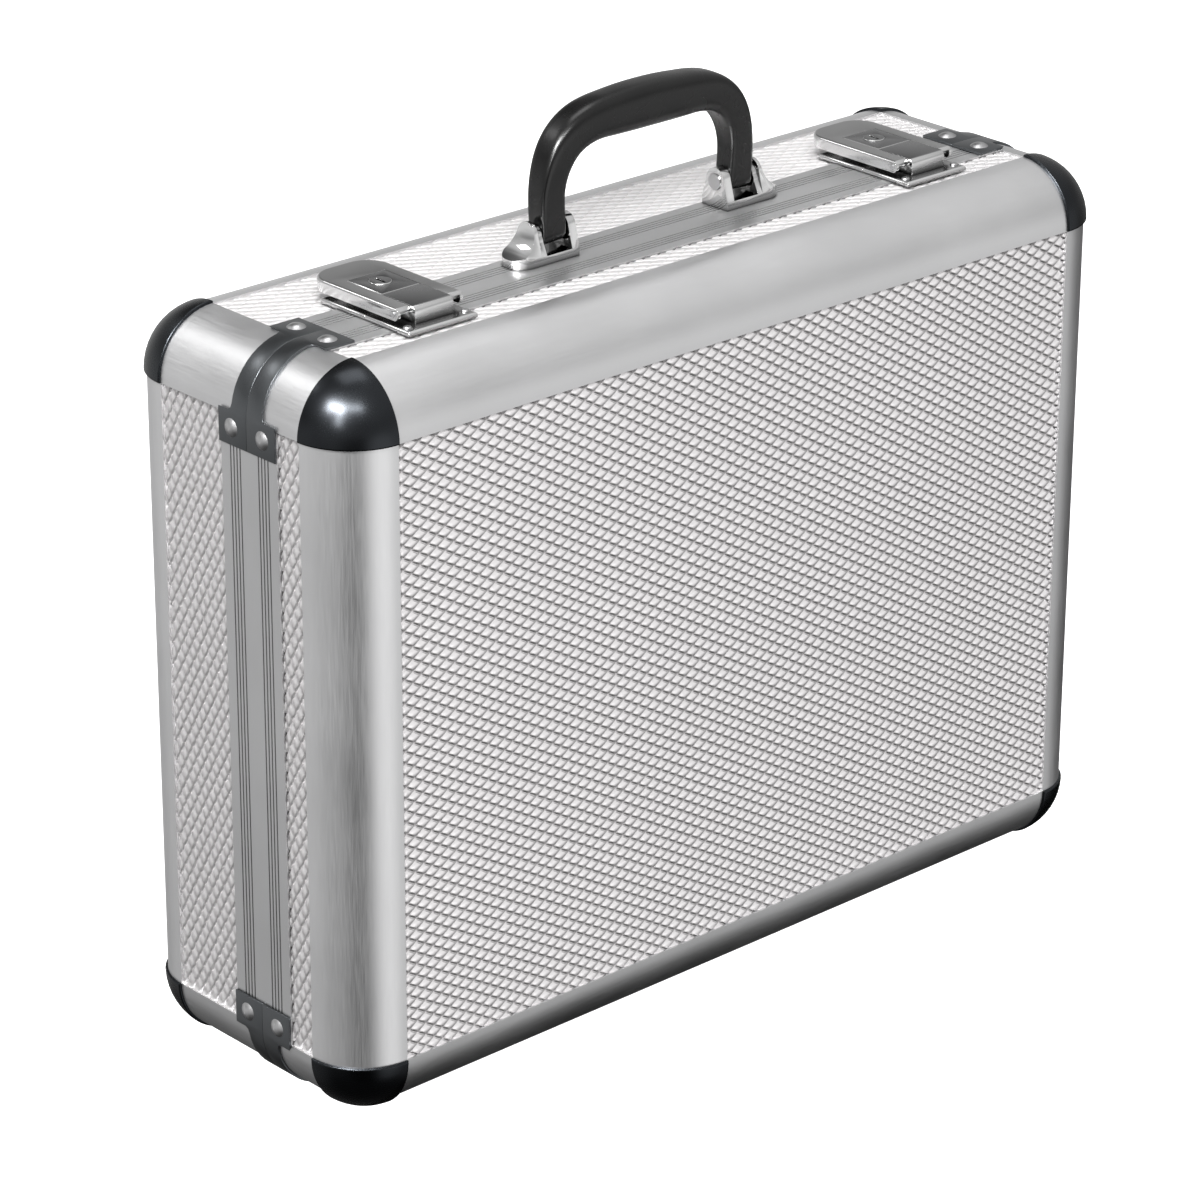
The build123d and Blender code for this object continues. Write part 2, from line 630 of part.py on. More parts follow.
def foot(x, y):
    """A small rubber foot under the bottom panel."""
    stud = Cylinder(FOOT_R, FOOT_H + PANEL_DROP, align=UPWARD)
    stud = fillet(stud.edges().sort_by(Axis.Z)[0], FOOT_ROUND)
    return Pos(x, y, 0) * stud


save("base_feet", foot(-FOOT_X, BASE_FOOT_Y), foot(FOOT_X, BASE_FOOT_Y))
save("lid_feet", foot(-FOOT_X, LID_FOOT_Y), foot(FOOT_X, LID_FOOT_Y))

# ---------------------------------------------------------------- foam

foam_z = (BOTTOM + FOAM_END_GAP, TOP - FOAM_END_GAP)
foam_x = (-FOAM_HALF_W, FOAM_HALF_W)
strip_y = (FOAM_FRONT, FOAM_BACK - FOAM_PAD_T)
save("foam_back_pad", block(foam_x, (FOAM_BACK - FOAM_PAD_T, FOAM_BACK), foam_z))

row_pitch = (foam_z[1] - foam_z[0] - FOAM_WALL_T) / POCKET_ROWS
column_pitch = (foam_x[1] - foam_x[0] - FOAM_WALL_T) / POCKET_COLUMNS
long_strips = []
cross_strips = []
for row in range(POCKET_ROWS + 1):
    z = foam_z[0] + row * row_pitch
    long_strips.append(block(foam_x, strip_y, (z, z + FOAM_WALL_T)))
    if row == POCKET_ROWS:
        break
    for column in range(POCKET_COLUMNS + 1):
        x = foam_x[0] + column * column_pitch
        cross_strips.append(block((x, x + FOAM_WALL_T), strip_y, (z + FOAM_WALL_T, z + row_pitch)))
save("foam_long_strips", *long_strips)
save("foam_cross_strips", *cross_strips)
save("lid_foam_pad", block(foam_x, (LID_FOAM_FRONT, LID_FOAM_FRONT + LID_FOAM_T), foam_z))
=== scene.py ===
"""Looks of the hard-shell carry case: embossed panels, satin aluminium, dark corners, nickel latches."""
import bpy
import bmesh
import json
import math
import numpy as np
from mathutils import Matrix, Vector


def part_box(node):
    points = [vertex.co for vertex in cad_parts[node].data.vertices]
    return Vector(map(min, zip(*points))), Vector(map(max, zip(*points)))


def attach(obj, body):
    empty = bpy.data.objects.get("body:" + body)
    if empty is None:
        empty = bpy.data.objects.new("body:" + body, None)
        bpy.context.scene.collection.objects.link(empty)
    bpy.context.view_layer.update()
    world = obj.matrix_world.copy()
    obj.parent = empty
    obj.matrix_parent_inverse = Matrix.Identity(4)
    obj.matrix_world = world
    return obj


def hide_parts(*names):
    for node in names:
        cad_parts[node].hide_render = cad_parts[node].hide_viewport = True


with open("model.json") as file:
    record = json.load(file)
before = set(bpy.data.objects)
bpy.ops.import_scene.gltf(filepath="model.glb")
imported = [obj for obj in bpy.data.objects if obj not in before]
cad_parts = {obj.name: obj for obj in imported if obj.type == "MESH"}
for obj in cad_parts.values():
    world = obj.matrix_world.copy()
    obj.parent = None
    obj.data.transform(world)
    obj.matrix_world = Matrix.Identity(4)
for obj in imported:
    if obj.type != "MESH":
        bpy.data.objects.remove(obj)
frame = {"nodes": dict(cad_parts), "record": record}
NODES = frame["nodes"]
BODY_OF = {node: body for body, nodes in frame["record"]["behaviour"]["bodies"].items() for node in nodes}
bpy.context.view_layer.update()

MM = 0.001
FOOT_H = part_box("base_rim_bottom")[0].z
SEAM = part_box("base_rim_bottom")[0].y
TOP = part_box("base_rim_top")[1].z
LATTICE = "lattice"


# ------------------------------------------------------------------ shader helpers


class Nodes:
    """A small wrapper that adds and links shader nodes in one tree."""

    def __init__(self, tree):
        self.tree = tree
        tree.nodes.clear()

    def add(self, kind, inputs=None, **settings):
        node = self.tree.nodes.new(kind)
        for key, value in settings.items():
            setattr(node, key, value)
        for key, value in (inputs or {}).items():
            if isinstance(value, bpy.types.NodeSocket):
                self.tree.links.new(value, node.inputs[key])
            else:
                node.inputs[key].default_value = value
        return node

    def math(self, operation, a, b=0.0, c=0.5):
        return self.add("ShaderNodeMath", {0: a, 1: b, 2: c}, operation=operation).outputs[0]

    def noise(self, vector, scale, detail=3.0, roughness=0.5):
        inputs = {"Vector": vector, "Scale": scale, "Detail": detail, "Roughness": roughness}
        return self.add("ShaderNodeTexNoise", inputs).outputs["Fac"]

    def ramp(self, factor, stops):
        node = self.add("ShaderNodeValToRGB", {"Fac": factor})
        ramp = node.color_ramp
        ramp.elements[0].position, ramp.elements[0].color = stops[0][0], shade(stops[0][1])
        ramp.elements[1].position, ramp.elements[1].color = stops[-1][0], shade(stops[-1][1])
        for place, colour in stops[1:-1]:
            ramp.elements.new(place).color = shade(colour)
        return node.outputs["Color"]

    def span(self, value, low, high):
        inputs = {"Value": value, "From Min": 0.3, "From Max": 0.7, "To Min": low, "To Max": high}
        return self.add("ShaderNodeMapRange", inputs).outputs["Result"]

    def stretched(self, scale):
        place = self.add("ShaderNodeTexCoord").outputs["Object"]
        return self.add("ShaderNodeMapping", {"Vector": place, "Scale": scale}).outputs["Vector"]

    def bump(self, height, strength, distance):
        inputs = {"Height": height, "Strength": strength, "Distance": distance}
        return self.add("ShaderNodeBump", inputs).outputs["Normal"]

    def crevice(self, distance, low, high):
        """A mask for painted shade: 1 in the open, falling to 0 deep in a groove or beside a wall."""
        open_part = self.add("ShaderNodeAmbientOcclusion", {"Distance": distance}, samples=6).outputs["AO"]
        inputs = {"Value": open_part, "From Min": low, "From Max": high}
        return self.add("ShaderNodeMapRange", inputs).outputs["Result"]


def shade(colour):
    """A colour as RGBA, from a grey value or an RGB triple."""
    if isinstance(colour, (int, float)):
        return (colour, colour, colour, 1.0)
    return (*colour, 1.0)


def material(name, build):
    """A node material whose build function returns the inputs of one Principled shader."""
    made = bpy.data.materials.new(name)
    made.use_nodes = True
    n = Nodes(made.node_tree)
    surface = n.add("ShaderNodeBsdfPrincipled", build(n))
    n.add("ShaderNodeOutputMaterial", {"Surface": surface.outputs["BSDF"]})
    return made


def mix(n, factor, a, b):
    """A colour mixed between a and b by a factor."""
    node = n.add("ShaderNodeMix", data_type="RGBA")
    n.tree.links.new(factor, node.inputs[0])
    for index, colour in ((6, a), (7, b)):
        if isinstance(colour, bpy.types.NodeSocket):
            n.tree.links.new(colour, node.inputs[index])
        else:
            node.inputs[index].default_value = shade(colour)
    return node.outputs[2]


def metal(name, colour, rough, grain=(900, 900, 900), grain_depth=0.00002, wear=0.06, groove=None):
    """A metal with fine grain along its length, cloudy roughness and, if asked, painted shade darkening its
    grooves.
    """

    def build(n):
        place = n.stretched((1, 1, 1))
        cloud = n.noise(place, 14.0, 4.0)
        fine = n.noise(n.stretched(grain), 1.0, 2.0, 0.6)
        tone = mix(n, n.span(cloud, 0.0, 1.0), tuple(c * (1 - wear) for c in colour), colour)
        if groove:
            # painted shade: grooves darkened towards 0.10 where ambient occlusion reaches
            tone = mix(n, n.crevice(groove, 0.35, 0.95), 0.10, tone)
        return {
            "Base Color": tone,
            "Metallic": 1.0,
            "Roughness": n.math("ADD", n.span(fine, rough - 0.04, rough + 0.04), n.span(cloud, -0.02, 0.03)),
            "Normal": n.bump(fine, 0.25, grain_depth),
        }

    return material(name, build)


# ------------------------------------------------------------------ materials

ALONG_X = (60, 2600, 2600)
ALONG_Y = (2600, 60, 2600)
ALONG_Z = (2600, 2600, 60)
# One anodised aluminium throughout: the darker base colours of the profiles along Y and the rims along Z are
# painted shade
edge_x = metal("anodised_edge_x", (0.70, 0.70, 0.705), 0.40, ALONG_X)
edge_y = metal("anodised_edge_y", (0.60, 0.60, 0.605), 0.40, ALONG_Y)
edge_z = metal("anodised_edge_z", (0.70, 0.70, 0.705), 0.40, ALONG_Z)
# the ribbed rims carry painted shade in the grooves between their ribs
rim_x = metal("ribbed_rim_x", (0.66, 0.66, 0.665), 0.40, ALONG_X, groove=1.2 * MM)
rim_z = metal("ribbed_rim_z", (0.58, 0.58, 0.585), 0.40, ALONG_Z, groove=1.2 * MM)
steel = metal("turned_steel", (0.46, 0.46, 0.465), 0.33, (1400, 1400, 1400))
zinc = metal("zinc_hinge", (0.60, 0.60, 0.61), 0.34, (700, 700, 700))


def two_finish_nickel_with_painted_shade(name, shaded_top_colour, lit_side_colour, top_rough=0.30, side_rough=0.16):
    """Nickel that is satin on the faces that lie flat on the case and polished on its edges, with a darker
    painted-shade colour on its up-facing faces, a lighter painted-highlight colour on its sides, and painted
    contact shade beside other parts.
    """

    def build(n):
        coords = n.add("ShaderNodeTexCoord")
        up = n.add("ShaderNodeSeparateXYZ", {0: coords.outputs["Normal"]}).outputs["Z"]
        limits = {"Value": up, "From Min": 0.90, "From Max": 0.99}
        flat = n.add("ShaderNodeMapRange", limits).outputs["Result"]
        cloud = n.noise(coords.outputs["Object"], 60.0, 4.0)
        fine = n.noise(n.stretched((2400, 140, 2400)), 1.0, 2.0, 0.6)
        # painted shade and highlight: up-facing faces take the darker top colour, the other faces the lighter
        # side colour
        tone = mix(n, flat, lit_side_colour, mix(n, cloud, tuple(c * 0.92 for c in shaded_top_colour), shaded_top_colour))
        rough = n.add("ShaderNodeMix", {0: flat, 2: side_rough, 3: top_rough}, data_type="FLOAT").outputs[0]
        return {
            # painted contact shade: darkened towards 0.05 beside nearby parts, by ambient occlusion
            "Base Color": mix(n, n.crevice(5 * MM, 0.3, 0.95), 0.05, tone),
            "Metallic": 1.0,
            "Roughness": n.math("ADD", rough, n.span(cloud, -0.03, 0.04)),
            "Normal": n.bump(fine, 0.2, 0.00002),
        }

    return material(name, build)


# top colours are painted shade, side colours painted highlight
lever_nickel = two_finish_nickel_with_painted_shade("lever_nickel", (0.40, 0.40, 0.40), (0.66, 0.66, 0.66))
block_nickel = two_finish_nickel_with_painted_shade("block_nickel", (0.21, 0.21, 0.213), (0.64, 0.64, 0.64), 0.26)
plate_nickel = two_finish_nickel_with_painted_shade("plate_nickel", (0.46, 0.46, 0.46), (0.74, 0.74, 0.74), 0.22, 0.10)


def polished_chrome(n):
    cloud = n.noise(n.stretched((1, 1, 1)), 80.0, 3.0)
    return {
        # painted contact shade: darkened towards 0.06 beside nearby parts, by ambient occlusion
        "Base Color": mix(n, n.crevice(7 * MM, 0.35, 1.0), 0.06, mix(n, cloud, 0.68, 0.74)),
        "Metallic": 1.0,
        "Roughness": n.span(cloud, 0.05, 0.10),
        "Normal": n.bump(cloud, 0.03, 0.0002),
    }


def ramped(n, value, start, stop, low=0.0, high=1.0):
    """A value's rise from low to high between start and stop, clamped outside them."""
    inputs = {"Value": value, "From Min": start, "From Max": stop, "To Min": low, "To Max": high}
    return n.add("ShaderNodeMapRange", inputs).outputs["Result"]


def lattice_shadow(n):
    """1 in the slot at the lower end of each bump, weaker along its far side and its upper end."""
    place = n.add("ShaderNodeUVMap", uv_map=LATTICE).outputs["UV"]
    split = n.add("ShaderNodeSeparateXYZ", {0: place})
    s, t = split.outputs["X"], split.outputs["Y"]
    u, v = n.math("FRACT", s), n.math("FRACT", t)
    inner = ramped(n, n.math("PINGPONG", t, 0.5), 0.08, 0.28)
    slot = n.math("ADD", ramped(n, u, 0.06, 0.18, 0.85, 0.0), ramped(n, u, 0.94, 1.0, 0.0, 0.85))
    dash = ramped(n, n.math("ABSOLUTE", n.math("SUBTRACT", u, 0.86)), 0.02, 0.06, 0.50, 0.0)
    ends = n.math("MULTIPLY", n.math("MAXIMUM", slot, dash), inner)
    far_side = n.math("SUBTRACT", ramped(n, v, 0.60, 0.84, 0.0, 0.46), ramped(n, v, 0.90, 0.98, 0.0, 0.46))
    return n.math("MAXIMUM", ends, far_side)


def embossed_sheet_metal(metallic, slot_shade, tone=1.0):
    """Pale embossed aluminium, with painted shade in the slots between its bumps and along their far sides.
    """

    def build(n):
        cloud = n.noise(n.stretched((1, 1, 1)), 9.0, 3.0)
        grit = n.noise(n.stretched((1, 1, 1)), 2600.0, 2.0)
        dull, bright = ((0.955, 0.93, 0.935), (0.985, 0.96, 0.965))
        toned = [tuple(tone * c for c in colour) for colour in (dull, bright)]
        unshaded = mix(n, n.span(cloud, 0.0, 1.0), *toned)
        return {
            # painted shade: slots and far sides of the bumps mixed towards the slot shade colour
            "Base Color": mix(n, lattice_shadow(n), unshaded, slot_shade),
            "Metallic": metallic,
            "Roughness": n.span(grit, 0.29, 0.36),
            "Normal": n.bump(grit, 0.12, 0.00002),
        }

    return build


def dark_gloss(n):
    cloud = n.noise(n.stretched((1, 1, 1)), 30.0, 3.0)
    grit = n.noise(n.stretched((1, 1, 1)), 1500.0, 2.0)
    return {
        "Base Color": mix(n, n.span(cloud, 0.0, 1.0), (0.027, 0.029, 0.032), (0.034, 0.037, 0.041)),
        "Metallic": 1.0,
        "Roughness": n.math("ADD", n.span(grit, 0.24, 0.27), n.span(cloud, 0.0, 0.02)),
        "Normal": n.bump(grit, 0.03, 0.00002),
    }


def dark_satin(n):
    cloud = n.noise(n.stretched((1, 1, 1)), 40.0, 3.0)
    grit = n.noise(n.stretched((1, 1, 1)), 1800.0, 2.0)
    return {
        "Base Color": mix(n, n.span(cloud, 0.0, 1.0), (0.105, 0.111, 0.117), (0.128, 0.135, 0.141)),
        "Metallic": 1.0,
        "Roughness": n.math("ADD", n.span(grit, 0.27, 0.31), n.span(cloud, 0.0, 0.03)),
        "Normal": n.bump(grit, 0.04, 0.00002),
    }


def black_plastic(n):
    cloud = n.noise(n.stretched((1, 1, 1)), 60.0, 3.0)
    grain = n.noise(n.stretched((1, 1, 1)), 2200.0, 3.0, 0.6)
    return {
        "Base Color": mix(n, n.span(cloud, 0.0, 1.0), 0.003, 0.005),
        "Roughness": n.span(cloud, 0.22, 0.30),
        "Specular IOR Level": 0.38,
        "Normal": n.bump(grain, 0.15, 0.00004),
    }


def rubber(n):
    grit = n.noise(n.stretched((1, 1, 1)), 1500.0, 3.0)
    return {
        "Base Color": mix(n, n.span(grit, 0.0, 1.0), 0.018, 0.03),
        "Roughness": n.span(grit, 0.70, 0.85),
        "Normal": n.bump(grit, 0.3, 0.00006),
    }


def foam_cells(n):
    place = n.stretched((1, 1, 1))
    cells = n.add("ShaderNodeTexVoronoi", {"Vector": place, "Scale": 900.0}).outputs["Distance"]
    cloud = n.noise(place, 25.0, 4.0)
    return {
        "Base Color": mix(n, cells, mix(n, cloud, 0.012, 0.02), mix(n, cloud, 0.035, 0.055)),
        "Roughness": 0.95,
        "Sheen Weight": 0.25,
        "Sheen Roughness": 0.6,
        "Normal": n.bump(cells, 0.7, 0.0004),
    }


def lining_cloth(n):
    thread = {"Vector": n.stretched((1, 1, 1)), "Scale": 420.0}
    across = n.add("ShaderNodeTexWave", thread, bands_direction="DIAGONAL")
    cloud = n.noise(n.stretched((1, 1, 1)), 300.0, 4.0)
    weave = n.math("MULTIPLY", across.outputs["Fac"], cloud)
    return {
        "Base Color": mix(n, weave, 0.02, 0.05),
        "Roughness": 0.9,
        "Sheen Weight": 0.4,
        "Normal": n.bump(weave, 0.4, 0.0002),
    }


chrome = material("chrome_mount", polished_chrome)
# One embossed sheet on every face; the copies differ in the strength of their painted slot shade, and the top
# copy is painted 10% darker as painted shade
panel_skin = material("embossed_panel", embossed_sheet_metal(0.55, 0.19))
side_skin = material("embossed_side", embossed_sheet_metal(0.50, 0.62, 1.0))
top_skin = material("embossed_top", embossed_sheet_metal(0.12, 0.80, 0.90))
corner_dark = material("gunmetal_corner", dark_gloss)
bracket_dark = material("gunmetal_bracket", dark_satin)
handle_black = material("handle_plastic", black_plastic)
foot_rubber = material("foot_rubber", rubber)
foam = material("open_cell_foam", foam_cells)
lining = material("lining_cloth", lining_cloth)


def finish_cad(prefixes, made):
    """Give the CAD nodes whose names begin so their own material."""
    for name, node in NODES.items():
        if name.startswith(prefixes):
            node.data.materials.clear()
            node.data.materials.append(made)


finish_cad(("base_edge_top", "base_edge_bottom", "lid_edge_top", "lid_edge_bottom"), edge_x)
finish_cad(("base_edge_left", "base_edge_right", "lid_edge_left", "lid_edge_right"), edge_z)
finish_cad(("base_corner_profiles", "lid_corner_profiles"), edge_y)
finish_cad(("base_rim_top", "base_rim_bottom", "lid_rim_top", "lid_rim_bottom"), rim_x)
finish_cad(("base_rim_left", "base_rim_right", "lid_rim_left", "lid_rim_right"), rim_z)
finish_cad(("hinge_base", "hinge_lid"), zinc)
finish_cad(("hinge_pins", "latch_pins", "handle_pins", "base_rivets", "lid_rivets"), steel)
finish_cad(("base_feet", "lid_feet"), foot_rubber)
finish_cad(("base_ball_corners", "lid_ball_corners"), corner_dark)


# ------------------------------------------------------------------ mesh helpers


def add_piece(name, mesh, made, body, smooth_deg=40):
    """Link a mesh as a piece of the object that rides on a body."""
    piece = bpy.data.objects.new(name, mesh)
    bpy.context.scene.collection.objects.link(piece)
    mesh.materials.clear()
    mesh.materials.append(made)
    mesh.shade_smooth()
    mesh.set_sharp_from_angle(angle=math.radians(smooth_deg))
    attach(piece, body)
    return piece


def to_mesh(bm, name):
    """A bmesh as new mesh data, with its normals facing out."""
    bmesh.ops.recalc_face_normals(bm, faces=bm.faces)
    mesh = bpy.data.meshes.new(name)
    bm.to_mesh(mesh)
    bm.free()
    return mesh


def bevel_mesh(mesh, width, segments=3, angle_deg=30):
    """A copy of a mesh whose sharp edges are rounded."""
    holder = bpy.data.objects.new("bevel_holder", mesh)
    bpy.context.scene.collection.objects.link(holder)
    bevel = holder.modifiers.new("bevel", "BEVEL")
    bevel.width = width
    bevel.segments = segments
    bevel.limit_method = "ANGLE"
    bevel.angle_limit = math.radians(angle_deg)
    bevel.harden_normals = False
    bpy.context.view_layer.update()
    evaluated = holder.evaluated_get(bpy.context.evaluated_depsgraph_get())
    made = bpy.data.meshes.new_from_object(evaluated)
    bpy.data.objects.remove(holder)
    return made


def refined(node, made, width, segments=3):
    """Stand a copy of a CAD node in for it, with its sharp edges rounded off."""
    bm = bmesh.new()
    bm.from_mesh(NODES[node].data)
    bmesh.ops.remove_doubles(bm, verts=bm.verts, dist=2e-6)
    bmesh.ops.dissolve_limit(bm, angle_limit=math.radians(1.0), verts=bm.verts, edges=bm.edges)
    mesh = bevel_mesh(to_mesh(bm, node), width, segments)
    piece = add_piece(f"{node}_finished", mesh, made, BODY_OF[node])
    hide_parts(node)
    return piece


for side in ("left", "right"):
    refined(f"keeper_plate_{side}", plate_nickel, 0.25 * MM)
    refined(f"latch_plate_{side}", plate_nickel, 0.25 * MM)
    refined(f"latch_housing_{side}", block_nickel, 0.45 * MM)
    refined(f"latch_lever_{side}", lever_nickel, 0.35 * MM)
    refined(f"lock_block_{side}", block_nickel, 0.3 * MM)
    refined(f"key_plug_{side}", block_nickel, 0.2 * MM)
    refined(f"handle_mount_{side}", chrome, 0.45 * MM)
refined("base_seam_brackets", bracket_dark, 0.5 * MM)
refined("lid_seam_brackets", bracket_dark, 0.5 * MM)

# ------------------------------------------------------------------ embossed panels

BUMP_LONG = 9.22 * MM
BUMP_SHORT = 5.5 * MM
BUMP_RISE = 1.3 * MM
BUMP_STEPS_U = (0.0, 0.09, 0.2, 0.8, 0.92)
BUMP_STEPS_V = (0.0, 0.13, 0.84)
END_HEIGHTS = ((0.0, 0.09, 0.2, 0.8, 0.92, 1.0), (0.0, 0.78, 1.0, 0.92, 0.55, 0.0))
SIDE_HEIGHTS = ((0.0, 0.13, 0.84, 1.0), (0.0, 1.0, 0.92, 0.0))
VALLEY_LEVEL = 0.5


def bump_height(u, v):
    """A pillow on one rhombus: deep slots at its two ends, shallow valleys along its sides."""
    along = np.interp(u, *END_HEIGHTS)
    across = np.interp(v, *SIDE_HEIGHTS)
    return BUMP_RISE * (VALLEY_LEVEL + (along - VALLEY_LEVEL) * across)


def lattice_lines(steps, reach):
    """Parameter values of the grid lines, with the same steps inside every cell."""
    cells = np.arange(-reach, reach)
    return np.append((cells[:, None] + np.array(steps)[None, :]).ravel(), reach)


def embossed_sheet(length, width):
    """A grid of rhombic pillows over a rectangle, as a bmesh in (long, short, height)."""
    half_l, half_w = length / 2, width / 2
    reach = int(math.ceil(half_l / BUMP_LONG + half_w / BUMP_SHORT)) + 2
    lines_s, lines_t = lattice_lines(BUMP_STEPS_U, reach), lattice_lines(BUMP_STEPS_V, reach)
    s, t = np.meshgrid(lines_s, lines_t, indexing="ij")
    x = (s + t) * BUMP_LONG / 2
    y = (s - t) * BUMP_SHORT / 2
    z = bump_height(s - np.floor(s), t - np.floor(t)) - BUMP_RISE
    count = len(lines_t)
    row, column = np.meshgrid(np.arange(len(lines_s) - 1), np.arange(count - 1), indexing="ij")
    corner = (row * count + column).ravel()
    quads = np.stack([corner, corner + 1, corner + count + 1, corner + count], axis=1)
    margin_l, margin_w = half_l + BUMP_LONG / 4, half_w + BUMP_SHORT / 4
    inside = (np.abs(x.ravel()) < margin_l) & (np.abs(y.ravel()) < margin_w)
    quads = quads[inside[quads].any(axis=1)]
    used, index = np.unique(quads, return_inverse=True)
    verts = np.stack([x.ravel(), y.ravel(), z.ravel()], axis=1)[used]
    mesh = bpy.data.meshes.new("sheet")
    mesh.from_pydata(verts.tolist(), [], index.reshape(quads.shape).tolist())
    lattice = np.stack([s.ravel(), t.ravel()], axis=1)[used][index.ravel()]
    mesh.uv_layers.new(name=LATTICE).data.foreach_set("uv", lattice.astype(np.float32).ravel())
    bm = bmesh.new()
    bm.from_mesh(mesh)
    bpy.data.meshes.remove(mesh)
    for point, normal in (((half_l, 0, 0), (1, 0, 0)), ((-half_l, 0, 0), (-1, 0, 0)),
                          ((0, half_w, 0), (0, 1, 0)), ((0, -half_w, 0), (0, -1, 0))):
        everything = bm.verts[:] + bm.edges[:] + bm.faces[:]
        bmesh.ops.bisect_plane(bm, geom=everything, dist=1e-7, plane_co=point, plane_no=normal,
                               clear_outer=True)
    return bm


def close_below(bm, depth):
    """Turn the sheet into a closed plate that is depth thick."""
    rim = [e for e in bm.edges if e.is_boundary]
    walls = bmesh.ops.extrude_edge_only(bm, edges=rim)["geom"]
    for vert in (g for g in walls if isinstance(g, bmesh.types.BMVert)):
        vert.co.z = -depth
    open_rim = [e for e in bm.edges if e.is_boundary]
    bmesh.ops.contextual_create(bm, geom=open_rim)


def emboss_panel(node):
    """Replace one flat panel by a plate with rhombic pillows on its outer face."""
    low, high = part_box(node)
    size = high - low
    centre = (low + high) / 2
    thin = min(range(3), key=lambda i: size[i])
    middle = (FOOT_H + TOP) / 2 if thin == 2 else 0.0
    outward = 1 if centre[thin] > middle else -1
    short = {0: 1, 1: 2, 2: 1}[thin]
    long = 3 - thin - short
    bm = embossed_sheet(size[long], size[short])
    close_below(bm, size[thin])
    turn = Matrix.Identity(4)
    for source, target, sign in ((0, long, 1), (1, short, 1), (2, thin, outward)):
        for row in range(3):
            turn[row][source] = sign if row == target else 0
    face = centre.copy()
    face[thin] = high[thin] if outward > 0 else low[thin]
    bmesh.ops.transform(bm, matrix=Matrix.Translation(face) @ turn, verts=bm.verts)
    mesh = to_mesh(bm, node)
    skin = (side_skin, panel_skin, top_skin)[thin]
    piece = add_piece(f"{node}_embossed", mesh, skin, BODY_OF[node], 75)
    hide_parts(node)


for node in sorted(NODES):
    if node.endswith("_panel"):
        emboss_panel(node)


# ------------------------------------------------------------------ handle

HANDLE_AXIS = Vector((0, -3.75 * MM, TOP + 12 * MM))
LEG_END_R = 5.5 * MM
DOME_STEPS = 8


def handle_stations():
    """Points down the right half of the bow: centre (x, z), half thickness, half depth, squareness; mm."""
    return [
        ((0.0, 58.6), 10.4, 9.5, 3.0), ((10.0, 58.5), 10.3, 9.5, 3.0), ((20.0, 58.2), 9.9, 9.4, 3.0),
        ((29.0, 57.8), 9.4, 9.2, 3.0), ((36.5, 56.4), 9.0, 8.9, 3.2), ((43.0, 53.6), 8.5, 8.4, 3.5),
        ((48.4, 49.3), 7.9, 7.8, 4.0), ((52.4, 43.6), 7.3, 7.2, 4.8), ((55.0, 37.0), 6.9, 6.5, 5.5),
        ((56.3, 30.0), 6.75, 5.9, 6.5), ((56.4, 23.0), 6.8, 5.6, 7.0), ((56.0, 16.0), 6.9, 5.5, 7.0),
        ((55.8, 12.0), 6.9, 5.5, 7.0),
    ]


def superellipse(count, power):
    """Unit points of a rounded rectangle."""
    angles = np.linspace(0, 2 * math.pi, count, endpoint=False)
    c, s = np.cos(angles), np.sin(angles)
    return np.stack([np.sign(c) * np.abs(c) ** (2 / power), np.sign(s) * np.abs(s) ** (2 / power)], axis=1)


def smooth_rows(rows, count):
    """Resample rows of numbers along their run by a Catmull-Rom curve."""
    rows = np.array(rows, float)
    ends = np.vstack([2 * rows[0] - rows[1], rows, 2 * rows[-1] - rows[-2]])
    at = np.linspace(0, len(rows) - 1 - 1e-9, count)
    i = at.astype(int)
    t = (at - i)[:, None]
    p0, p1, p2, p3 = (ends[i + k] for k in range(4))
    square = 2 * p0 - 5 * p1 + 4 * p2 - p3
    cube = 3 * p1 - p0 - 3 * p2 + p3
    return 0.5 * (2 * p1 + (p2 - p0) * t + square * t**2 + cube * t**3)


def build_handle():
    """The bow as one closed loft down both legs, with domed ends."""
    half = [(x, z, *shape) for (x, z), *shape in handle_stations()]
    full = [(-x, *rest) for x, *rest in reversed(half[1:])] + half
    rows = smooth_rows(full, 181)
    tangent = np.gradient(rows[:, :2], axis=0)
    tangent /= np.linalg.norm(tangent, axis=1)[:, None]
    count, around = len(rows), 64
    verts = []
    for (x, z, thick, deep, square), (tx, tz) in zip(rows, tangent):
        for across, depth in superellipse(around, square):
            verts.append(((x - tz * across * thick) * MM, HANDLE_AXIS.y + depth * deep * MM,
                          TOP + (z + tx * across * thick) * MM))
    faces = []
    for i in range(count - 1):
        for j in range(around):
            k = (j + 1) % around
            faces.append((i * around + j, i * around + k, (i + 1) * around + k, (i + 1) * around + j))
    bm = bmesh.new()
    made = [bm.verts.new(v) for v in verts]
    for face in faces:
        bm.faces.new([made[i] for i in face])
    for end in (0, count - 1):
        dome_handle_end(bm, made[end * around:(end + 1) * around])
    mesh = to_mesh(bm, "handle_bow")
    piece = add_piece("handle_bow", mesh, handle_black, "handle", 60)
    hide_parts("handle")


def dome_handle_end(bm, rim):
    """Round off a leg's lower end about the pivot axis."""
    previous = rim
    base = [v.co.copy() for v in rim]
    for step in range(1, DOME_STEPS + 1):
        angle = math.pi / 2 * step / DOME_STEPS
        shrink = math.cos(angle)
        drop = LEG_END_R * math.sin(angle)
        row = []
        for co in base:
            y = HANDLE_AXIS.y + (co.y - HANDLE_AXIS.y) * max(shrink, 0.02)
            row.append(bm.verts.new((co.x, y, co.z - drop)))
        for j in range(len(rim)):
            k = (j + 1) % len(rim)
            bm.faces.new([previous[j], previous[k], row[k], row[j]])
        previous = row
    bm.faces.new(previous)


build_handle()

# ------------------------------------------------------------------ foam and lining


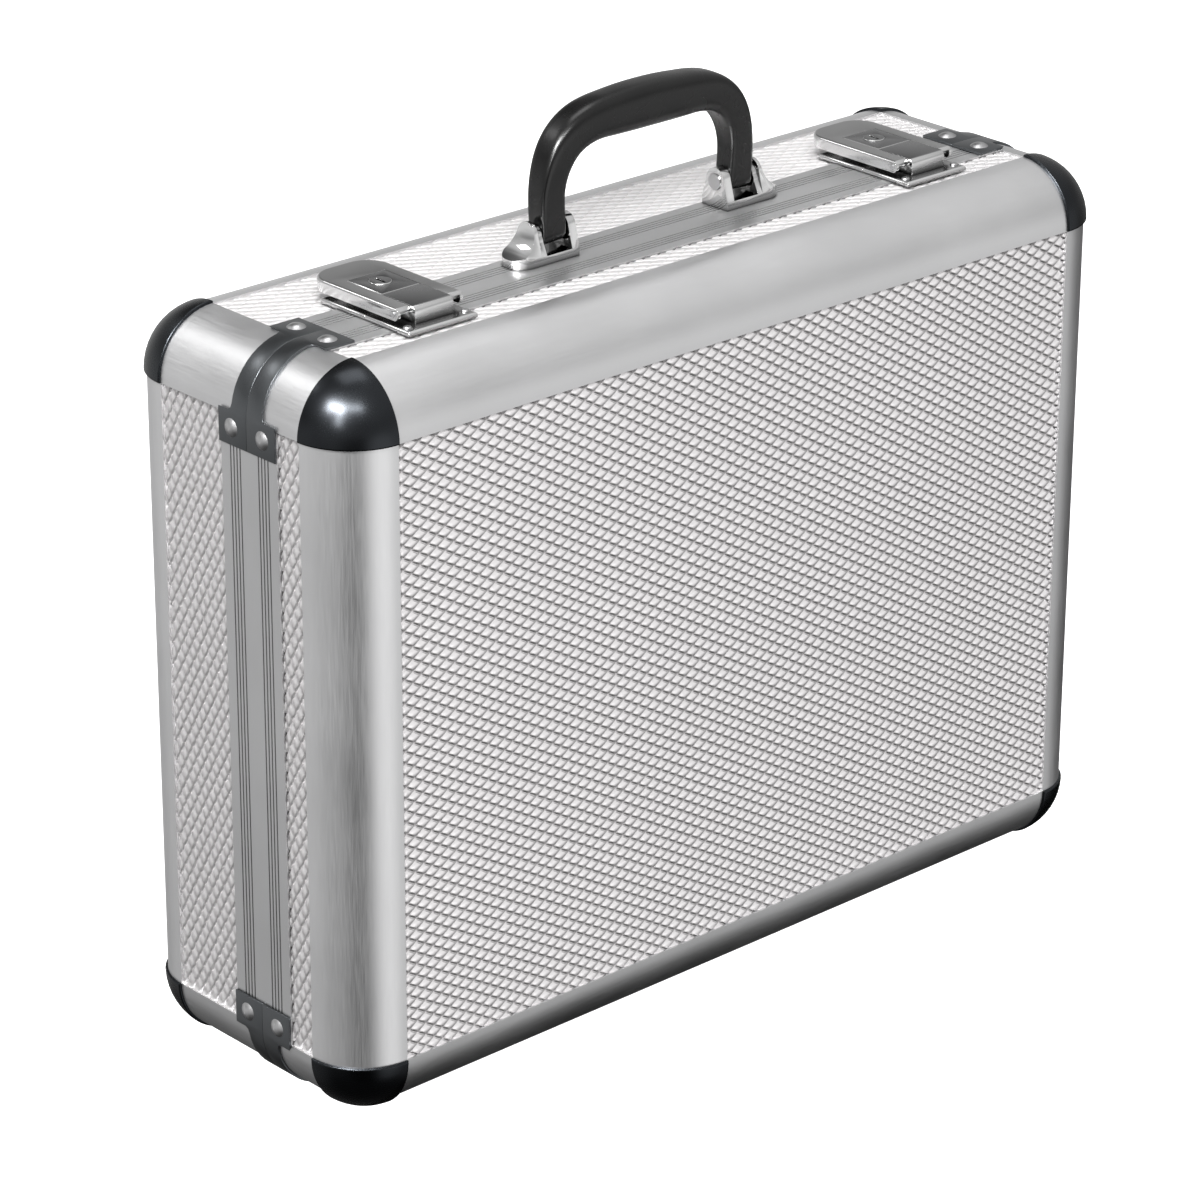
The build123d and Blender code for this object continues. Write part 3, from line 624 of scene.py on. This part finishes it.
def height_block(x_lines, z_lines, is_wall, y_top, y_floor, y_back):
    """A block that is high where a cell is a wall and low where it is a pocket."""
    bm = bmesh.new()
    grid = {}

    def point(i, j, y):
        key = (i, j, round(y * 1e6))
        if key not in grid:
            grid[key] = bm.verts.new((x_lines[i], y, z_lines[j]))
        return grid[key]

    columns, rows = len(x_lines) - 1, len(z_lines) - 1

    def level(i, j):
        if 0 <= i < columns and 0 <= j < rows:
            return y_top if is_wall(i, j) else y_floor
        return y_back

    for i in range(columns):
        for j in range(rows):
            y = level(i, j)
            bm.faces.new([point(i, j, y), point(i + 1, j, y), point(i + 1, j + 1, y), point(i, j + 1, y)])
            bm.faces.new([point(i, j, y_back), point(i, j + 1, y_back), point(i + 1, j + 1, y_back),
                          point(i + 1, j, y_back)])
            for di, dj, a, b in ((1, 0, (i + 1, j), (i + 1, j + 1)), (0, 1, (i, j + 1), (i + 1, j + 1)),
                                 (-1, 0, (i, j), (i, j + 1)), (0, -1, (i, j), (i + 1, j))):
                other = level(i + di, j + dj)
                if other > y + 1e-7:
                    bm.faces.new([point(*a, y), point(*b, y), point(*b, other), point(*a, other)])
    bmesh.ops.remove_doubles(bm, verts=bm.verts, dist=1e-6)
    return bm


def foam_lines(low, high, pockets, wall):
    """Where walls and pockets begin and end along one side of the tray."""
    pitch = (high - low - wall) / pockets
    lines = []
    for i in range(pockets + 1):
        lines += [low + i * pitch, low + i * pitch + wall]
    return lines


POCKETS_X = 6
POCKETS_Z = 4
FOAM_WALL = 8 * MM


def build_foam():
    """The base's foam: a tray of open pockets on a flat sheet."""
    low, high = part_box("foam_long_strips")
    x_lines = foam_lines(low.x, high.x, POCKETS_X, FOAM_WALL)
    z_lines = foam_lines(low.z, high.z, POCKETS_Z, FOAM_WALL)
    pad_low, pad_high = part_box("foam_back_pad")
    bm = height_block(x_lines, z_lines, lambda i, j: i % 2 == 0 or j % 2 == 0,
                      low.y, high.y - 2 * MM, high.y)
    mesh = bevel_mesh(to_mesh(bm, "foam_tray"), 1.6 * MM, 3)
    tray = add_piece("foam_tray", mesh, foam, "base", 50)
    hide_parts("foam_long_strips", "foam_cross_strips")
    bm = bmesh.new()
    bmesh.ops.create_cube(bm, size=1.0)
    bmesh.ops.scale(bm, vec=pad_high - pad_low, verts=bm.verts)
    bmesh.ops.translate(bm, vec=(pad_low + pad_high) / 2, verts=bm.verts)
    mesh = bevel_mesh(to_mesh(bm, "foam_sheet"), 1.5 * MM)
    pad = add_piece("foam_base_sheet", mesh, foam, "base", 50)
    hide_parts("foam_back_pad")


CRATE_GRID = (120, 88)
CRATE_PITCH = 35.8 * MM
CRATE_RISE = 13 * MM


def build_egg_crate():
    """The lid's foam: rows of round peaks on a flat slab."""
    low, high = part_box("lid_foam_pad")
    nx, nz = CRATE_GRID
    bm = bmesh.new()
    front = []
    for i in range(nx + 1):
        x = low.x + (high.x - low.x) * i / nx
        for j in range(nz + 1):
            z = low.z + (high.z - low.z) * j / nz
            wave = math.cos(2 * math.pi * x / CRATE_PITCH) + math.cos(2 * math.pi * (z - low.z) / CRATE_PITCH)
            edge = min(x - low.x, high.x - x, z - low.z, high.z - z) / (4 * MM)
            y = high.y - CRATE_RISE * (0.5 - wave / 4) - 1.2 * MM * max(0.0, 1 - edge)
            front.append(bm.verts.new((x, y, z)))
    rows = nz + 1
    for i in range(nx):
        for j in range(nz):
            bm.faces.new([front[i * rows + j], front[i * rows + j + 1],
                          front[(i + 1) * rows + j + 1], front[(i + 1) * rows + j]])
    rim = [e for e in bm.edges if e.is_boundary]
    walls = bmesh.ops.extrude_edge_only(bm, edges=rim)["geom"]
    for vert in (g for g in walls if isinstance(g, bmesh.types.BMVert)):
        vert.co.y = low.y
    bmesh.ops.contextual_create(bm, geom=[e for e in bm.edges if e.is_boundary])
    piece = add_piece("lid_foam_crate", to_mesh(bm, "lid_foam"), foam, "lid", 60)
    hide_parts("lid_foam_pad")


LINING_OUT = 6.5 * MM
LINING_T = 0.8 * MM
CORNER_INSET = 29 * MM
LID_FRAME_DROP = 9 * MM


def rounded_loop(half_x, z0, z1, radius, segments=10):
    """Points round a rectangle in (x, z) whose corners are arcs."""
    points = []
    for corner, (sx, z) in enumerate(((1, z1), (-1, z1), (-1, z0), (1, z0))):
        up = 1 if z == z1 else -1
        for step in range(segments + 1):
            angle = math.pi / 2 * (corner + step / segments)
            points.append((sx * (half_x - radius) + radius * math.cos(angle),
                           z - up * radius + radius * math.sin(angle)))
    return points


def ring_piece(name, outer, inner, y0, y1, body, made):
    """A tube between two outlines of equal point count, from y0 to y1."""
    bm = bmesh.new()
    loops = [[bm.verts.new((x, y, z)) for x, z in outline] for outline in (outer, inner) for y in (y0, y1)]
    out_a, out_b, in_a, in_b = loops
    count = len(outer)
    for i in range(count):
        j = (i + 1) % count
        for a, b in ((out_a, out_b), (in_b, in_a), (out_b, in_b), (in_a, out_a)):
            bm.faces.new([a[i], a[j], b[j], b[i]])
    return add_piece(name, bevel_mesh(to_mesh(bm, name), 0.25 * MM, 2, 50), made, body, 45)


def build_lining():
    """A foam frame round each half's padding, and a thin cloth wall up to the lid's rim."""
    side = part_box("base_rim_right")[1].x
    low, high = FOOT_H + LINING_OUT, TOP - LINING_OUT
    wall = rounded_loop(side - LINING_OUT, low, high, CORNER_INSET - LINING_OUT)
    for body, pad in (("base", "foam_long_strips"), ("lid", "lid_foam_pad")):
        pad_low, pad_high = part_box(pad)
        gap = 0.3 * MM
        inner = rounded_loop(pad_high.x + gap, pad_low.z - gap, pad_high.z + gap, 1 * MM)
        if body == "base":
            y0, y1 = pad_low.y + 1 * MM, pad_high.y
        else:
            y0, y1 = pad_low.y + 2 * MM, pad_high.y - LID_FRAME_DROP
        frame_piece = ring_piece(f"{body}_foam_frame", wall, inner, y0, y1, body, foam)
    cloth = rounded_loop(side - LINING_OUT - LINING_T, low + LINING_T, high - LINING_T,
                         CORNER_INSET - LINING_OUT - LINING_T)
    frame_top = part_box("lid_foam_pad")[1].y - LID_FRAME_DROP
    ring_piece("lid_lining", wall, cloth, frame_top, SEAM - 5 * MM, "lid", lining)


build_foam()
build_egg_crate()
build_lining()

# ------------------------------------------------------------------ camera, light and stage

AZIMUTH = math.radians(-42.45)
ELEVATION = math.radians(23.24)
ROLL = math.radians(0.206)
DISTANCE = 2.1763
TARGET = Vector((-20.8 * MM, 0, 169.3 * MM + FOOT_H))
LENS_MM = 143.89
SENSOR_MM = 36.0


def add_camera():
    """The camera at the case's three-quarter view."""
    data = bpy.data.cameras.new("camera")
    data.lens = LENS_MM
    data.sensor_width = SENSOR_MM
    data.clip_end = 50
    camera = bpy.data.objects.new("camera", data)
    bpy.context.scene.collection.objects.link(camera)
    away = Vector((math.sin(AZIMUTH) * math.cos(ELEVATION), -math.cos(AZIMUTH) * math.cos(ELEVATION),
                   math.sin(ELEVATION)))
    turn = (-away).to_track_quat("-Z", "Y").to_matrix().to_4x4()
    camera.matrix_world = Matrix.Translation(TARGET + away * DISTANCE) @ turn @ Matrix.Rotation(ROLL, 4, "Z")
    bpy.context.scene.camera = camera


def add_area(name, place, target, size, power, diffuse=True):
    """A soft rectangular lamp; without diffuse it only makes highlights."""
    data = bpy.data.lights.new(name, "AREA")
    data.shape = "RECTANGLE"
    data.size, data.size_y = size
    data.energy = power
    lamp = bpy.data.objects.new(name, data)
    bpy.context.scene.collection.objects.link(lamp)
    aim = Vector(target) - Vector(place)
    lamp.matrix_world = Matrix.Translation(place) @ aim.to_track_quat("-Z", "Y").to_matrix().to_4x4()
    lamp.visible_diffuse = diffuse


FLOOR_Z = -0.13


def add_floor():
    """A wide floor lit evenly white, so it shows no shadow.

    It lies below the opened lid, which swings under z = 0.
    """
    bm = bmesh.new()
    bmesh.ops.create_circle(bm, cap_ends=True, segments=96, radius=6.0)
    mesh = to_mesh(bm, "floor")
    mesh.materials.append(material("pale_floor", lambda n: {
        "Base Color": mix(n, n.noise(n.stretched((1, 1, 1)), 2.0), 0.90, 0.92), "Roughness": 0.8,
        "Emission Color": (1, 1, 1, 1), "Emission Strength": 1.0}))
    floor = bpy.data.objects.new("floor", mesh)
    floor.location.z = FLOOR_Z
    bpy.context.scene.collection.objects.link(floor)
    floor.visible_glossy = False
    floor.visible_diffuse = False


SKY_LEVELS = ((0.0, 0.03), (0.20, 0.08), (0.36, 0.50), (0.50, 0.64), (0.64, 0.46), (0.76, 0.62), (1.0, 0.82))
LOBES = (
    # direction, inner and outer angle in degrees, brightness added
    ((0.04, -0.92, -0.38), 6, 30, 1.0),
    ((0.66, -0.66, -0.36), 6, 34, 0.34),
    ((-0.56, -0.74, -0.36), 5, 34, -0.42),
    ((-0.62, 0.66, -0.35), 5, 40, 0.24),
    ((-0.74, 0.66, 0.12), 4, 18, -0.20),
    ((0.95, 0.10, -0.38), 8, 50, -0.36),
    ((0.40, -0.75, 0.50), 5, 50, 0.10),
    ((0.28, 0.68, 0.68), 5, 28, -0.55),
    ((-0.15, 0.20, 0.96), 6, 30, -0.45),
)


def add_world():
    """A white studio whose reflected light is darker below and has a few soft bright and dark zones."""
    world = bpy.data.worlds.new("studio")
    bpy.context.scene.world = world
    world.use_nodes = True
    n = Nodes(world.node_tree)
    way = n.add("ShaderNodeTexCoord").outputs["Generated"]
    height = n.add("ShaderNodeSeparateXYZ", {0: way}).outputs["Z"]
    level = n.ramp(n.math("MULTIPLY_ADD", height, 0.5), SKY_LEVELS)
    total = n.add("ShaderNodeRGBToBW", {0: level}).outputs[0]
    for direction, inner, outer, value in LOBES:
        aim = tuple(Vector(direction).normalized())
        near = n.add("ShaderNodeVectorMath", {0: way, 1: aim}, operation="DOT_PRODUCT").outputs["Value"]
        rim, core = math.cos(math.radians(outer)), math.cos(math.radians(inner))
        limits = {"Value": near, "From Min": rim, "From Max": core, "To Min": 0.0, "To Max": value}
        zone = n.add("ShaderNodeMapRange", limits, interpolation_type="SMOOTHSTEP")
        total = n.math("ADD", total, zone.outputs["Result"])
    seen = n.add("ShaderNodeLightPath").outputs["Is Camera Ray"]
    shown = n.add("ShaderNodeMix", {0: seen, 2: n.math("MAXIMUM", total, 0.01), 3: 1.0}, data_type="FLOAT")
    light = n.add("ShaderNodeBackground", {"Color": (1, 1, 1, 1), "Strength": shown.outputs[0]})
    n.add("ShaderNodeOutputWorld", {"Surface": light.outputs[0]})


add_camera()
add_floor()
add_world()
add_area("key", (-0.95, -1.05, 1.72), (0, 0, 0.2), (0.85, 0.30), 18)
add_area("glow", (-1.56, -0.36, 1.72), (-0.2, 0, 0.3), (0.95, 0.46), 95, diffuse=False)
add_area("strip", (-1.50, -0.66, 1.24), (-0.1, 0, 0.25), (0.24, 0.80), 14, diffuse=False)
add_area("back_left", (-0.74, 1.12, 1.42), (-0.22, 0, 0.33), (0.46, 0.26), 1.6, diffuse=False)
add_area("overhead", (0.1, 0.35, 2.1), (0, 0, 0.35), (1.0, 0.8), 8)

bpy.context.scene.view_settings.view_transform = "Standard"
bpy.context.view_layer.update()
